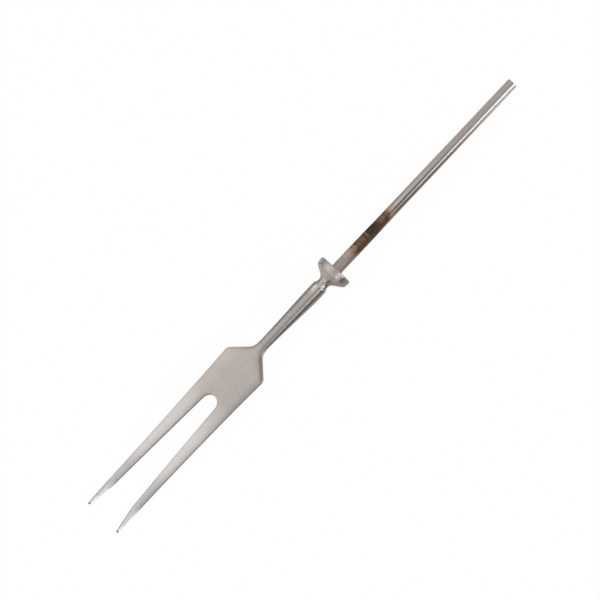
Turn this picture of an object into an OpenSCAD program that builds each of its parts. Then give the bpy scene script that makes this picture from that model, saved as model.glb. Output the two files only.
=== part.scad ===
// Carving fork with its handle off: a forged head, neck and bolster, and a square tang welded up from two lengths.
// The origin is the middle of the tang in the bolster's back face, where a handle seats.
// The tang runs along +X, the tines along -X, and +Z is the upper face of the head.

/* [Tines and head] */
// Length of the tines, from the root of the slot to the points
tine_len = 89.6; // [70:0.2:110]
// Length of the solid head, from the root of the slot to the corner of the shoulder
head_len = 24; // [16:1:34]
// Width of the head at the shoulder
head_w = 28.2; // [24.6:0.1:34]
// Width over the outsides of the tines
tine_span = 24.4; // [22:0.1:27.8]
// Width of the slot at its round root
slot_w = 9.7; // [7:0.1:11]
// Angle at which each side of the slot leans outwards
slot_lean = 2.9; // [2:0.1:3.5]
// Thickness of the head at the shoulder
head_t = 3.4; // [2.6:0.1:4]
// Thickness of the tines where the points begin
tine_t = 2.2; // [1.6:0.1:2.6]
// Length of the ground points
point_len = 17; // [12:0.5:24]
// Diameter of the blunt end of a point
point_d = 1.1; // [0.8:0.1:1.6]
// How far the end of a point lies inside the line of the tine's outer edge
point_inset = 0.2; // [0:0.1:0.6]
// How far the points hang below the front end of the neck
tine_drop = 2.6; // [0:0.1:6]
// Rounding of the long edges of the head
head_edge_r = 0.35; // [0.2:0.05:0.6]

/* [Shoulder and neck] */
// Angle at which the shoulders are cut
shoulder_angle = 47.5; // [35:0.5:60]
// Rounding of the corner of the shoulder
shoulder_corner_r = 4; // [1:0.1:6]
// Fillet between the shoulder and the neck
shoulder_fillet_r = 6.5; // [4:0.5:10]
// Length of the neck, from the shoulder's fillet to the swell
neck_len = 37.5; // [28:0.1:50]
// Width of the neck at the shoulder
neck_w = 5.8; // [5:0.1:7]
// Thickness of the neck at the shoulder
neck_t = 3.8; // [3.4:0.1:5]
// How far the front end of the neck lies above the tang's axis
neck_rise = 2; // [0:0.1:4]
// How late the neck widens and thickens towards the swell: 1 is an even taper
neck_belly = 1.1; // [0.8:0.1:2]
// Length of the swell ahead of the bolster
swell_len = 6.5; // [4:0.5:10]
// Width of the swell
swell_w = 8.2; // [7.2:0.1:10]
// Thickness of the swell
swell_t = 7.6; // [6.8:0.1:9]
// How far the swell and the waist lie above the tang's axis
swell_rise = 0.3; // [0:0.1:1]
// Length over which the swell falls to the waist
swell_fall_len = 3; // [2:0.5:5]
// Length of the waist between the swell and the bolster's flare
waist_len = 1.3; // [1:0.1:3]
// Width of the waist
waist_w = 6.5; // [5.8:0.1:7]
// Thickness of the waist
waist_t = 6; // [5.6:0.1:6.6]
// Rounding of the neck's long edges at the swell
neck_edge_r = 2.4; // [1.2:0.1:2.6]
// Angle through which each face of the neck curves from its middle to its rounded edge
neck_crown = 14; // [4:1:18]

/* [Bolster] */
// Width of the bolster
bolster_w = 20.4; // [18:0.1:24]
// Height of the bolster
bolster_h = 17; // [15.6:0.1:20]
// Rounding of the bolster's corners
bolster_corner_r = 7; // [5:0.1:7.4]
// Angle through which each face of the bolster curves from its middle to its rounded corner
bolster_crown = 17; // [6:1:22]
// How far the middle of the bolster lies above the tang's axis
bolster_rise = 0.5; // [0:0.1:1]
// Length of the flare from the waist to the band
flare_len = 6; // [4:0.1:9]
// Length of the band round the bolster
band_len = 3.5; // [2.5:0.1:6]
// How much the band widens on each side from its front to its back
band_draft = 0.3; // [0:0.05:0.6]
// Rounding of the band's back edge
band_edge_r = 1.1; // [0.2:0.1:1.5]

/* [Tang] */
// Length of the forged stub, from the bolster's back face to the root of the weld
stub_len = 29.2; // [20:0.2:40]
// Side of the square stub
stub_size = 5.8; // [5.2:0.1:6.5]
// Length of the rod, from the root of the weld to its free end
rod_len = 109.4; // [80:0.2:140]
// Side of the square rod
rod_size = 5.5; // [4.4:0.1:6.5]
// Rounding of the long edges of the stub and the rod
bar_edge_r = 1.1; // [0.6:0.1:1.6]
// Angle through which each face of the stub and the rod curves from its middle to its rounded edge
bar_crown = 10; // [1:1:16]
// Chamfer round the rod's free end
rod_chamfer = 0.4; // [0.2:0.1:0.8]

/* [Weld] */
// Length of the weld along the tang
weld_len = 7.6; // [5:0.2:10]
// Side of the square root face where the stub and the rod meet
weld_root = 1.8; // [1.2:0.1:2.6]

/* [Hidden] */
$fn = 64;
forged_steel = [0.72, 0.69, 0.67];
rod_steel = [0.66, 0.63, 0.61];
weld_scale = [0.22, 0.2, 0.18];

// Rings across the forging, in each stretch of its length, and steps round each corner and face of a ring
head_steps = 20;
neck_steps = 12;
fall_steps = 6;
flare_steps = 12;
arc_steps = 5;
edge_steps = 3;
corner_steps = 6;
face_steps = 4;

// Crown angle of the head's faces, which are ground nearly flat
head_crown = 0.05;

// How far a cutting shape stands clear of what it cuts
clear = 3;
// How far the cone of a point stands clear of the tine's corners where the point begins
point_root_clear = 0.1;

// Places along the tang's axis, from the bolster forwards
flare_x = -band_len - flare_len;
waist_x = flare_x - waist_len;
swell_back_x = waist_x - swell_fall_len;
swell_front_x = swell_back_x - swell_len;
neck_x = swell_front_x - neck_len;
fillet_run = shoulder_fillet_r * tan(shoulder_angle / 2);
corner_run = shoulder_corner_r * tan(shoulder_angle / 2);
shoulder_run = (head_w - neck_w) / 2 / tan(shoulder_angle);
shoulder_x = neck_x - fillet_run - shoulder_run;
slot_x = shoulder_x - head_len;
tip_x = slot_x - tine_len;
point_x = tip_x + point_len;
slot_r = slot_w / 2;
weld_front_x = stub_len - weld_len / 2;
weld_back_x = stub_len + weld_len / 2;

// Blend factors from 0 to 1: one is level at both ends, and the flare's rises at once and ends level
function mix(a, b, f) = a + (b - a) * f;
function smooth(f) = (1 - cos(180 * f)) / 2;
function flared(f) = mix(f - sin(360 * f) / (4 * PI), smooth(f), f);
function share(x, from, to) = (x - from) / (to - from);

// A section of a loft is [x, width, thickness, height of its middle, corner radius, crown angle]
function head_middle(x) = neck_rise - tine_drop * share(x, neck_x, tip_x) ^ 2;
function tine_section(x) = [x, tine_span, tine_t, head_middle(x), head_edge_r, head_crown];
function head_section(x) =
    let (f = share(x, point_x, shoulder_x))
    [x, mix(tine_span, head_w, f * f), mix(tine_t, head_t, f), head_middle(x), head_edge_r, head_crown];
function shoulder_section(x, width) =
    let (f = share(x, shoulder_x - corner_run, neck_x))
    [x, width, mix(head_t, neck_t, f), head_middle(x), head_edge_r, mix(head_crown, neck_crown, f)];

// The neck thickens downwards, so that its upper face stays nearly level
function neck_section(f) =
    let (growth = pow(f, neck_belly))
    let (thickness = mix(neck_t, swell_t, growth))
    let (top = mix(neck_rise + neck_t / 2, swell_rise + swell_t / 2, f))
    [
        mix(neck_x, swell_front_x, f),
        mix(neck_w, swell_w, growth),
        thickness,
        top - thickness / 2,
        mix(head_edge_r, neck_edge_r, sqrt(f)),
        neck_crown
    ];
function waist_section(x) = [x, waist_w, waist_t, swell_rise, neck_edge_r, neck_crown];
function band_section(x, inset) = [
    x,
    bolster_w - 2 * inset,
    bolster_h - 2 * inset,
    bolster_rise,
    bolster_corner_r - inset,
    bolster_crown
];

function stub_section(x) = [x, stub_size, stub_size, 0, bar_edge_r, bar_crown];
function rod_section(x, inset) =
    let (size = rod_size - 2 * inset)
    [x, size, size, 0, bar_edge_r - inset, bar_crown];
root_section = [stub_len, weld_root, weld_root, 0, weld_root * bar_edge_r / stub_size, bar_crown];

// The shoulder is a straight cut with an arc tangent to it at each end
function shoulder_corner() = [
    for (i = [0 : arc_steps])
        let (a = shoulder_angle * i / arc_steps)
        shoulder_section(
            shoulder_x - corner_run + shoulder_corner_r * sin(a),
            head_w - 2 * shoulder_corner_r * (1 - cos(a)))
];
function shoulder_fillet() = [
    for (i = [arc_steps : -1 : 1])
        let (a = shoulder_angle * i / arc_steps)
        shoulder_section(
            neck_x - shoulder_fillet_r * sin(a),
            neck_w + 2 * shoulder_fillet_r * (1 - cos(a)))
];
// The same section at another place along the axis
function placed(section, x) = [x, section[1], section[2], section[3], section[4], section[5]];
function swell_fall() =
    let (swell_back = [swell_back_x, swell_w, swell_t, swell_rise, neck_edge_r, neck_crown])
    [
        for (i = [0 : fall_steps])
            let (f = i / fall_steps)
            let (s = mix(swell_back, waist_section(waist_x), smooth(f)))
            placed(s, mix(swell_back_x, waist_x, f))
    ];
function flare() = [
    for (i = [0 : flare_steps])
        let (f = i / flare_steps)
        let (s = mix(waist_section(flare_x), band_section(-band_len, band_draft), flared(f)))
        placed(s, mix(flare_x, -band_len, f))
];
function band_edge() = [
    for (i = [0 : edge_steps])
        let (a = 90 * i / edge_steps)
        band_section(band_edge_r * (sin(a) - 1), band_edge_r * (1 - cos(a)))
];

forging_sections = concat(
    [tine_section(tip_x)],
    [for (i = [0 : head_steps]) head_section(mix(point_x, shoulder_x - 2 * corner_run, i / head_steps))],
    shoulder_corner(),
    shoulder_fillet(),
    [for (i = [0 : neck_steps]) neck_section(i / neck_steps)],
    swell_fall(),
    flare(),
    band_edge()
);

// One ring of a loft: a rectangle across the X axis with rounded corners and crowned faces.
// Every arc is tangent to the next. [y, z] is the middle of one corner's arc.
function ring(section) =
    let (half_w = section[1] / 2)
    let (half_t = section[2] / 2)
    let (r = section[4])
    let (crown = section[5])
    let (k = tan(crown / 2))
    let (y = (half_w - r - k * (half_t - r)) / (1 - k * k))
    let (z = (half_t - r - k * (half_w - r)) / (1 - k * k))
    let (face_r = r + y / sin(crown))
    let (side_r = r + z / sin(crown))
    let (arcs = [
        [y, z, r, 0],
        [0, half_t - face_r, face_r, 90],
        [-y, z, r, 90],
        [side_r - half_w, 0, side_r, 180],
        [-y, -z, r, 180],
        [0, face_r - half_t, face_r, 270],
        [y, -z, r, 270],
        [half_w - side_r, 0, side_r, 360]
    ])
    [
        for (j = [0 : len(arcs) - 1])
            let (arc = arcs[j])
            for (a = j % 2 == 0 ? corner_angles(arc[3], crown) : face_angles(arc[3], crown))
                [section[0], arc[0] + arc[2] * cos(a), section[3] + arc[1] + arc[2] * sin(a)]
    ];
function corner_angles(start, crown) =
    [for (i = [0 : corner_steps]) start + crown + (90 - 2 * crown) * i / corner_steps];
function face_angles(middle, crown) =
    [for (i = [1 : face_steps - 1]) middle + crown * (2 * i / face_steps - 1)];

// Joins rings that follow one another. A closed loft runs from its last ring back to its first, and has no ends.
module loft(sections, closed = false) {
    n = 4 * (corner_steps + face_steps);
    count = len(sections);
    sides = [
        for (j = [0 : count - (closed ? 1 : 2)])
            for (i = [0 : n - 1])
                let (here = j * n)
                let (there = (j + 1) % count * n)
                let (next = (i + 1) % n)
                [here + i, there + i, there + next, here + next]
    ];
    front = [for (i = [0 : n - 1]) i];
    back = [for (i = [n - 1 : -1 : 0]) (count - 1) * n + i];
    polyhedron(
        points = [for (s = sections) each ring(s)],
        faces = closed ? sides : concat(sides, [front, back]));
}

// Half the width of the slot at x, along its straight sides
function slot_side(x) = slot_r / cos(slot_lean) + (slot_x - slot_r - x) * tan(slot_lean);

module slot() {
    end_x = tip_x - clear;
    tangent = [slot_x - slot_r + slot_r * sin(slot_lean), slot_r * cos(slot_lean)];
    linear_extrude(head_w, center = true) {
        translate([slot_x - slot_r, 0]) circle(slot_r);
        polygon([
            tangent,
            [end_x, slot_side(end_x)],
            [end_x, -slot_side(end_x)],
            [tangent[0], -tangent[1]]
        ]);
    }
}

// What is ground off one tine to leave a round, tapering point in line with the tine
module point_waste() {
    outer = tine_span / 2;
    inner = slot_side(point_x);
    root = [point_x, (outer + inner) / 2, head_middle(point_x)];
    tip = [tip_x, outer - point_inset - point_d / 2, head_middle(tip_x)];
    root_r = norm([outer - inner, tine_t]) / 2 + point_root_clear;
    run = root - tip;
    growth = (root_r - point_d / 2) / norm(run);
    difference() {
        translate([tip_x - clear, slot_r, tip[2] - head_w / 2])
            cube([point_len + clear, outer, head_w]);
        translate(tip)
            rotate([0, 90 - atan2(run[2], norm([run[0], run[1]])), atan2(run[1], run[0])])
                cylinder(
                    h = norm(run) + clear,
                    r1 = point_d / 2,
                    r2 = root_r + clear * growth);
    }
}

module forged_fork() {
    color(forged_steel) difference() {
        loft(concat(forging_sections, [stub_section(0), stub_section(weld_front_x), root_section]));
        slot();
        point_waste();
        mirror([0, 1, 0]) point_waste();
    }
}

// The rod's near end is bevelled all round like the stub's, and its far end is chamfered
module tang_rod() {
    end_x = stub_len + rod_len;
    color(rod_steel) loft([
        root_section,
        rod_section(weld_back_x, 0),
        rod_section(end_x - rod_chamfer, 0),
        rod_section(end_x, rod_chamfer)
    ]);
}

// Weld metal fills the groove between the two bevels, flush with the bars at both ends
module butt_weld() {
    color(weld_scale)
        loft([stub_section(weld_front_x), rod_section(weld_back_x, 0), root_section], closed = true);
}

forged_fork();
butt_weld();
tang_rod();
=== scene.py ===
"""Dresses a carving fork whose handle is off: the satin forging, the scaled butt weld and the bright square rod."""

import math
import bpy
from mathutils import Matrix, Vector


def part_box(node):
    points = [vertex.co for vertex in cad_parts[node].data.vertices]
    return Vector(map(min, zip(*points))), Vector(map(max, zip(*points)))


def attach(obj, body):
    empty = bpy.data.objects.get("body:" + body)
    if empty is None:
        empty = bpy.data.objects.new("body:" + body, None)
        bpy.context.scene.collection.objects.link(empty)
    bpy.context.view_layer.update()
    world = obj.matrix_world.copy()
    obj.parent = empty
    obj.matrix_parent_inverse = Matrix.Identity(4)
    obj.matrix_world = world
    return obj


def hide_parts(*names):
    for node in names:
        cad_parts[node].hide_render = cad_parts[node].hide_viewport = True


bl_info = {
    "name": "Carving Fork",
    "version": (1, 0, 0),
    "blender": (4, 5, 0),
    "location": "3D View > Sidebar > Fork",
    "description": "Builds the forging, the weld, the rod and the stage of a carving fork without its handle",
    "category": "Add Mesh",
}

from collections import namedtuple

import bmesh
import bpy
import numpy as np
from bpy.props import FloatProperty, FloatVectorProperty, PointerProperty
from mathutils import Matrix, Vector, noise

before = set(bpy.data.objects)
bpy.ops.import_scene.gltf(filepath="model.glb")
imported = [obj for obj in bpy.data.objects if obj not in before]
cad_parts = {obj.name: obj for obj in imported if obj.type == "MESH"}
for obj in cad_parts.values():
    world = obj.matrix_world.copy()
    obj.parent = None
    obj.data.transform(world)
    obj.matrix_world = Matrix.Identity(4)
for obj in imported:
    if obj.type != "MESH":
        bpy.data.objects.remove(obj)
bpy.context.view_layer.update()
FORGING_LOW, FORGING_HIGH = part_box("forged_fork")
WELD_LOW, WELD_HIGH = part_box("butt_weld")
ROD_LOW, ROD_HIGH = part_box("tang_rod")

MERGE_DISTANCE = 1e-7

# Steps round an edge, down a wall and across half a face of every ring
ARC_STEPS = 6
WALL_STEPS = 4
FACE_STEPS = 12

Station = namedtuple("Station", "wall outward inner radius slope")


def length(name, default, description):
    """A size in metres that the user can set."""
    return FloatProperty(
        name=name, description=description, default=default, min=0.0, precision=5, unit="LENGTH", subtype="DISTANCE"
    )


def angle(name, degrees, description):
    """An angle that the user can set."""
    return FloatProperty(
        name=name, description=description, default=math.radians(degrees), unit="ROTATION", subtype="ANGLE"
    )


def colour(name, default, description):
    """A linear colour that the user can set."""
    return FloatVectorProperty(
        name=name, description=description, default=default, size=3, min=0.0, max=1.0, subtype="COLOR"
    )


def factor(name, default, description, largest=1.0):
    """A share or a strength that the user can set."""
    return FloatProperty(name=name, description=description, default=default, min=0.0, max=largest, subtype="FACTOR")


class ForkHeadSizes(bpy.types.PropertyGroup):
    """Sizes of the tines, the head and its shoulders."""

    tine_length: length("Tine length", 0.0896, "From the root of the slot to the points")
    head_length: length("Head length", 0.024, "From the root of the slot to the corner of the shoulder")
    tine_span: length("Tine span", 0.0244, "Width over the outsides of the tines")
    slot_width: length("Slot width", 0.0097, "Width of the slot at its round root")
    slot_lean: angle("Slot lean", 2.9, "Angle at which each side of the slot leans outwards")
    head_thickness: length("Head thickness", 0.0034, "Thickness at the shoulder")
    tine_thickness: length("Tine thickness", 0.0022, "Thickness where the points begin")
    point_length: length("Point length", 0.017, "Length of the ground points")
    point_diameter: length("Point diameter", 0.0011, "Diameter of the blunt end of a point")
    point_inset: length("Point inset", 0.0002, "How far a point's end lies inside the tine's outer edge")
    tine_drop: length("Tine drop", 0.0026, "How far the points hang below the front end of the neck")
    edge_rounding: length("Edge rounding", 0.00035, "Rounding of the long edges of the head")
    roll_width: length("Roll width", 0.0032, "Width of the band along each edge that buffing has rolled over")
    roll_depth: length("Roll depth", 0.0002, "How far buffing has taken the face down at its edge")
    shoulder_roll_width: length("Shoulder roll width", 0.0022, "Width of that band along the shoulders")
    shoulder_roll_depth: length("Shoulder roll depth", 0.00028, "How far the face is taken down at the shoulders' edge")
    head_crown: length("Head crown", 0.0002, "How far the head's face falls from its middle to its sides")
    shoulder_angle: angle("Shoulder angle", 47.5, "Angle at which the shoulders are cut")
    shoulder_corner: length("Shoulder corner", 0.004, "Rounding of the corner of the shoulder")
    shoulder_fillet: length("Shoulder fillet", 0.0065, "Fillet between the shoulder and the neck")


class ForkNeckSizes(bpy.types.PropertyGroup):
    """Sizes of the neck, the swell, the waist, the bolster and the stub."""

    neck_length: length("Neck length", 0.0375, "From the shoulder's fillet to the swell")
    neck_width: length("Neck width", 0.0058, "Width at the shoulder")
    neck_thickness: length("Neck thickness", 0.0038, "Thickness at the shoulder")
    neck_rise: length("Neck rise", 0.002, "How far the front end of the neck lies above the tang's axis")
    neck_belly: factor("Neck belly", 1.1, "How late the neck widens and thickens towards the swell", 2.0)
    neck_edge: length("Neck edge", 0.0024, "Rounding of the long edges at the swell")
    neck_crown: angle("Neck crown", 14.0, "How far each face curves from its middle to its rounded edge")
    swell_length: length("Swell length", 0.0065, "Length of the swell ahead of the bolster")
    swell_width: length("Swell width", 0.0082, "Width of the swell")
    swell_thickness: length("Swell thickness", 0.0076, "Thickness of the swell")
    swell_rise: length("Swell rise", 0.0003, "How far the swell and the waist lie above the tang's axis")
    swell_fall: length("Swell fall", 0.003, "Length over which the swell falls to the waist")
    waist_length: length("Waist length", 0.0013, "Length of the waist")
    waist_width: length("Waist width", 0.0065, "Width of the waist")
    waist_thickness: length("Waist thickness", 0.006, "Thickness of the waist")
    bolster_width: length("Bolster width", 0.0204, "Width of the bolster")
    bolster_corner: length("Bolster corner", 0.007, "Rounding of the bolster's corners")
    bolster_crown: angle("Bolster crown", 17.0, "How far each face curves from its middle to its rounded corner")
    flare_length: length("Flare length", 0.006, "From the waist to the band")
    band_length: length("Band length", 0.0035, "Length of the band round the bolster")
    band_draft: length("Band draft", 0.0003, "How much the band widens on each side towards its back")
    band_edge: length("Band edge", 0.0011, "Rounding of the band's back edge")
    stub_fillet: length("Stub fillet", 0.0005, "Fillet where the stub leaves the bolster")
    stub_size: length("Stub size", 0.0058, "Side of the square stub")
    bar_edge: length("Bar edge", 0.0011, "Rounding of the long edges of the stub and the rod")
    bar_crown: angle("Bar crown", 10.0, "How far each face curves from its middle to its rounded edge")
    weld_root: length("Weld root", 0.0018, "Side of the square face where the stub and the rod meet")
    rod_chamfer: length("Rod chamfer", 0.0004, "Chamfer round the rod's free end")
    weld_roughness: length("Weld roughness", 0.00007, "Height of the weld's lumps and pits")


class ForkColours(bpy.types.PropertyGroup):
    """Colours of the steel, its heat tint and its scale, and of the painted highlights, reflections and shade on the
    steel.
    """

    steel_warm: colour("Warm steel", (0.48, 0.424, 0.395), "Satin steel, warmer patches")
    steel_cool: colour("Cool steel", (0.437, 0.398, 0.372), "Satin steel, cooler patches")
    # Painted reflection: the brighter tines
    tine_reflection: colour("Tine steel", (0.607, 0.576, 0.555), "Brighter buffed steel of the tines")
    # Painted reflection: the cooler, darker outer third of the tines
    outer_tine_reflection: colour("Outer tine", (0.49, 0.465, 0.478), "Cooler, duller steel of the outer third of the tines")
    # Painted highlight: bright colour on the -Y side of the points
    point_highlight: colour("Point steel", (0.8, 0.79, 0.78), "Bright ground steel on one side of the points")
    neck_steel: colour("Neck steel", (0.395, 0.352, 0.328), "Satin steel, duller along the neck")
    band_steel: colour("Band steel", (0.505, 0.449, 0.422), "Brighter buffed steel of the bolster's band")
    # Painted shade: the dark line round the bolster's band
    band_shade_line: colour("Band line", (0.16, 0.148, 0.136), "Line on the band where the buffing of its faces stopped")
    # Painted highlight: the upper face where the flare begins
    flare_highlight: colour("Flare steel", (0.61, 0.555, 0.522), "Steel worn bright where the flare begins")
    rod_steel: colour("Rod steel", (0.395, 0.348, 0.325), "Drawn steel of the rod")
    rod_far: colour("Far rod steel", (0.29, 0.254, 0.237), "Drawn steel of the rod towards its free end")
    # Painted shade, on duller steel near the weld: the rod's sides
    rod_shaded_side: colour("Rod side", (0.085, 0.076, 0.068), "Duller steel on the rod's sides near the weld")
    # Painted highlight: the rod's bright edges and a small patch on the swell
    highlight_steel: colour("Rod edge", (0.9, 0.85, 0.83), "Steel worn bright along the rod's edges")
    stub_dark: colour("Dark stub", (0.27, 0.23, 0.203), "Unpolished steel of the stub, darker patches")
    stub_light: colour("Light stub", (0.5, 0.43, 0.39), "Unpolished steel of the stub, lighter patches")
    # Painted shade on the unpolished stub: its -Y side and the line round its edges
    stub_shaded_side: colour("Stub side", (0.19, 0.165, 0.148), "Unpolished steel on the edges of the stub's sides")
    # Painted shade, lighter: the sides and dark line on the steep parts of the bolster's flare
    flare_shaded_side: colour("Forged side", (0.27, 0.255, 0.232), "Unbuffed steel under the bolster's flare")
    # Darker sides: partly less polished steel, partly painted shade for the dark reflection of the floor near the fork
    dull_shaded_side: colour("Dull side", (0.2, 0.185, 0.165), "Less polished steel on the sides")
    # Painted shade: a dark line round the edges, where the surface turns to reflect the dark room
    shade_line: colour("Buffing line", (0.1, 0.092, 0.085), "Darker line where the buffing of the faces stopped")
    straw: colour("Straw tint", (0.34, 0.24, 0.15), "Heat tint farthest from the weld")
    brown: colour("Brown tint", (0.205, 0.119, 0.067), "Heat tint nearer to the weld")
    purple: colour("Purple tint", (0.205, 0.136, 0.102), "Heat tint in blotches between the bands")
    burnt: colour("Burnt line", (0.072, 0.038, 0.021), "Thin line where the brown tint ends")
    scale: colour("Scale", (0.052, 0.041, 0.031), "Black scale on the weld")
    floor: colour("Floor", (0.82, 0.82, 0.82), "Floor that the fork lies on")


class ForkStage(bpy.types.PropertyGroup):
    """The camera, the floor and the lamps."""

    camera_distance: length("Camera distance", 1.5, "From the camera to the middle of the picture")
    picture_width: length("Picture width", 0.324, "What the picture's width shows at that distance")
    camera_tilt: angle("Camera tilt", 19.5, "How far the camera leans from above the head's upper face")
    camera_roll: angle("Camera roll", 46.69, "Angle of the tang above the picture's horizontal")
    floor_size: length("Floor size", 6.0, "Side of the floor")
    world_strength: factor("World strength", 0.52, "Brightness of the room", 2.0)
    overhead_radiance: factor("Overhead lamp", 0.72, "Brightness of the soft lamp overhead", 10.0)
    side_radiance: factor("Side lamp", 1.5, "Brightness of the soft lamp at the side", 10.0)
    tang_radiance: factor("Tang lamp", 2.6, "Brightness of the small lamp beyond the tang's end", 10.0)
    rod_radiance: factor("Rod lamp", 8.5, "Brightness of the low lamp at the rod's side", 10.0)
    low_radiance: factor("Low lamp", 1.1, "Brightness of the low lamp beside the points", 10.0)
    point_radiance: factor("Point lamp", 1.05, "Brightness of the lamp beyond the points", 10.0)


def sizes():
    """The scene's settings for the head and for the neck, bolster and tang."""
    scene = bpy.context.scene
    return scene.fork_head, scene.fork_neck


def smooth(f):
    """Blend factor that is level at both ends."""
    return (1 - np.cos(np.pi * f)) / 2


def mix(a, b, f):
    """Blends two numbers or two rows of numbers."""
    return a + (b - a) * f


def flared(f):
    """Blend factor that rises at once, is steepest halfway and ends level."""
    return mix(f - np.sin(2 * np.pi * f) / (4 * np.pi), smooth(f), f)


def eased(x, start, end):
    """How far x lies from start to end, from 0 to 1 and held there, with a soft start and end."""
    return smooth(np.clip(share(x, start, end), 0, 1))


def share(x, start, end):
    """How far x lies from start to end, as a share."""
    return (x - start) / (end - start)


# What a section loses on its width, thickness, height, corner radius and crown for each unit of inset
INSET = np.array([2, 2, 0, 1, 0])


class Section:
    """A rectangle across the X axis with rounded corners and crowned faces, each arc tangent to the next."""

    def __init__(self, width, thickness, middle, radius, crown):
        self.half_width = width / 2
        self.half_thickness = thickness / 2
        self.middle = middle
        self.radius = radius
        self.crown = crown
        k = math.tan(crown / 2)
        across = self.half_width - radius
        upright = self.half_thickness - radius
        self.corner_y = (across - k * upright) / (1 - k * k)
        self.corner_z = (upright - k * across) / (1 - k * k)
        self.face_radius = radius + self.corner_y / math.sin(crown)
        self.side_radius = radius + self.corner_z / math.sin(crown)

    def point(self, turn):
        """The place (y, z) where the surface has turned by this angle from straight up towards +Y."""
        out = math.sin(turn)
        up = math.cos(turn)
        if abs(out) < math.sin(self.crown):
            y = self.face_radius * abs(out)
            z = self.half_thickness - self.face_radius * (1 - abs(up))
        elif abs(up) < math.sin(self.crown):
            y = self.half_width - self.side_radius * (1 - abs(out))
            z = self.side_radius * abs(up)
        else:
            y = self.corner_y + self.radius * abs(out)
            z = self.corner_z + self.radius * abs(up)
        return math.copysign(y, out), self.middle + math.copysign(z, up)

    def turns(self, face_steps):
        """Turns from the middle of the upper face to the middle of the side, denser in the corner."""
        crown = self.crown
        face = np.linspace(0, crown, face_steps + 1)
        corner = np.linspace(crown, math.pi / 2 - crown, ARC_STEPS + 1)[1:]
        side = np.linspace(math.pi / 2 - crown, math.pi / 2, WALL_STEPS // 2 + 1)[1:]
        return np.concatenate([face, corner, side])


class Forging:
    """Places and sections along the forging, worked out from its sizes and the CAD box."""

    def __init__(self, head, neck):
        self.head = head
        self.neck = neck
        self.tip_x = FORGING_LOW.x
        self.head_width = FORGING_HIGH.y - FORGING_LOW.y
        self.bolster_height = FORGING_HIGH.z - FORGING_LOW.z
        self.bolster_rise = (FORGING_HIGH.z + FORGING_LOW.z) / 2
        self.point_x = self.tip_x + head.point_length
        self.slot_x = self.tip_x + head.tine_length
        self.slot_radius = head.slot_width / 2
        self.slot_centre_x = self.slot_x - self.slot_radius
        self.shoulder_x = self.slot_x + head.head_length
        self.flare_x = -neck.band_length - neck.flare_length
        self.waist_x = self.flare_x - neck.waist_length
        self.swell_back_x = self.waist_x - neck.swell_fall
        self.swell_front_x = self.swell_back_x - neck.swell_length
        self.neck_x = self.swell_front_x - neck.neck_length
        self.corner_run = head.shoulder_corner * math.tan(head.shoulder_angle / 2)
        self.corner_x = self.shoulder_x - self.corner_run
        self.outline = shoulder_outline(self)

    def middle(self, x):
        """Height of the middle of the head's thickness at x."""
        return self.neck.neck_rise - self.head.tine_drop * share(x, self.neck_x, self.tip_x) ** 2

    def thickness(self, x):
        """Thickness of the head at x."""
        head = self.head
        on_head = mix(
            head.tine_thickness,
            head.head_thickness,
            np.clip(share(x, self.point_x, self.shoulder_x), 0, 1),
        )
        on_shoulder = mix(
            head.head_thickness,
            self.neck.neck_thickness,
            np.clip(share(x, self.corner_x, self.neck_x), 0, 1),
        )
        return np.where(x < self.corner_x, on_head, on_shoulder)

    def crown(self, x):
        """How far the faces curve from the middle to the edge at x: flat on the head, crowned at the neck."""
        return self.neck.neck_crown * np.clip(share(x, self.corner_x, self.neck_x), 0, 1)

    def drop(self, x, y):
        """How far the crown takes a face down at a place."""
        least_crown = 1e-4
        crown = np.maximum(self.crown(x), least_crown)
        k = np.tan(crown / 2)
        edge = self.head.edge_rounding
        across = np.interp(x, *self.outline[:, :2].T) - edge
        upright = self.thickness(x) / 2 - edge
        bend = edge + (across - k * upright) / (1 - k * k) / np.sin(crown)
        return np.where(x < self.corner_x, 0.0, bend - np.sqrt(np.maximum(bend**2 - y**2, 0)))

    def head_half_width(self, x):
        """Half the width over the tines and the head at x, ahead of the shoulder."""
        f = np.clip(share(x, self.point_x, self.shoulder_x), 0, 1)
        return mix(self.head.tine_span, self.head_width, f * f) / 2

    def slot_side(self, x):
        """Half the width of the slot at x, along its straight sides."""
        lean = self.head.slot_lean
        return self.slot_radius / math.cos(lean) + (self.slot_centre_x - x) * math.tan(lean)

    def top(self, p):
        """Height of the head's upper face at a place in plan."""
        return float(self.middle(p[0]) + self.thickness(p[0]) / 2 - self.drop(*p))

    def bottom(self, p):
        """Height of the head's lower face at a place in plan."""
        return float(self.middle(p[0]) - self.thickness(p[0]) / 2 + self.drop(*p))


def head_station(forging, wall, outward, inner):
    """A station of the head: from inside to the wall in plan, with the slope of the crowned face at its edge."""
    slope = float(forging.crown(wall[0])) * outward[1]
    return Station(np.array(wall), np.array(outward), np.array(inner), forging.head.edge_rounding, slope)


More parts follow.
